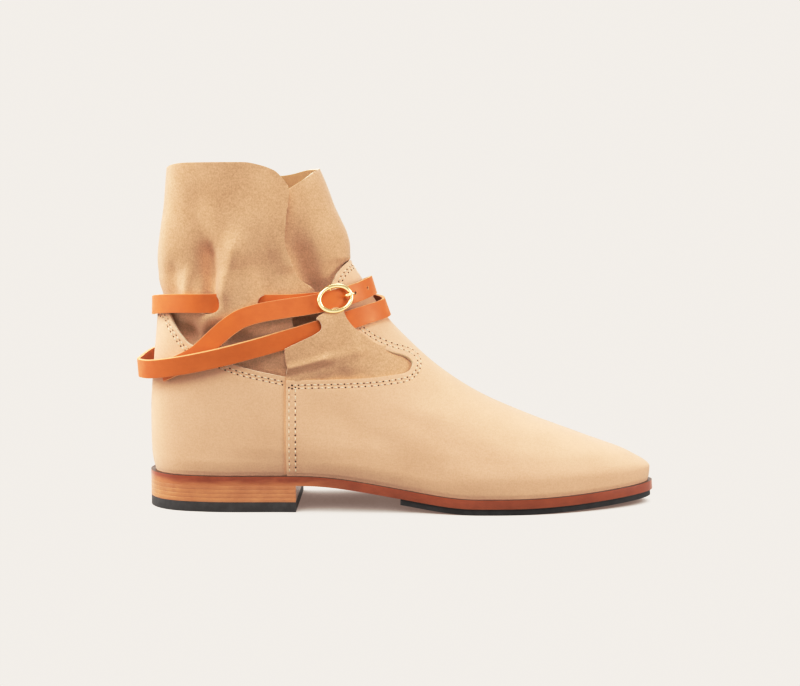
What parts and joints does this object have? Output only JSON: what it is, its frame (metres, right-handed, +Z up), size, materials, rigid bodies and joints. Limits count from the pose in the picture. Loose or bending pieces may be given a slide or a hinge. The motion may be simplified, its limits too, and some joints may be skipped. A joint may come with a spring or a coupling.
{
  "type": "ankle boot",
  "caption": "Right ankle boot in pale suede with a soft wrapped shaft, a long tan strap wound round the ankle and closed by an oval buckle, a leather sole and a low stacked heel.",
  "frame": {"origin": "on the floor, below the middle of the boot's length and width", "axes": "+X to the toe, +Y to the inner side of the foot, +Z up the shaft"},
  "size_m": [0.2872, 0.0874, 0.1875],
  "materials": {
    "suede": "pale sand suede, matt nap",
    "strap_leather": "orange tan smooth leather, low sheen, raw pale edges",
    "sole_leather": "red brown dressed leather edge, low gloss",
    "heel_leather": "stacked leather, natural brown, low gloss",
    "rubber": "dark rubber, matt",
    "insole_leather": "plain lining leather, matt",
    "gold_metal": "polished pale gold"
  },
  "bodies": {
    "root": {"outsole": "sole_leather", "half_sole": "rubber", "heel_stack": "heel_leather", "heel_lift": "rubber", "insole": "insole_leather", "upper": "suede", "shaft": "suede", "flap": "suede", "strap": "strap_leather", "buckle_frame": "gold_metal", "buckle_prong": "gold_metal"}
  },
  "joints": []
}
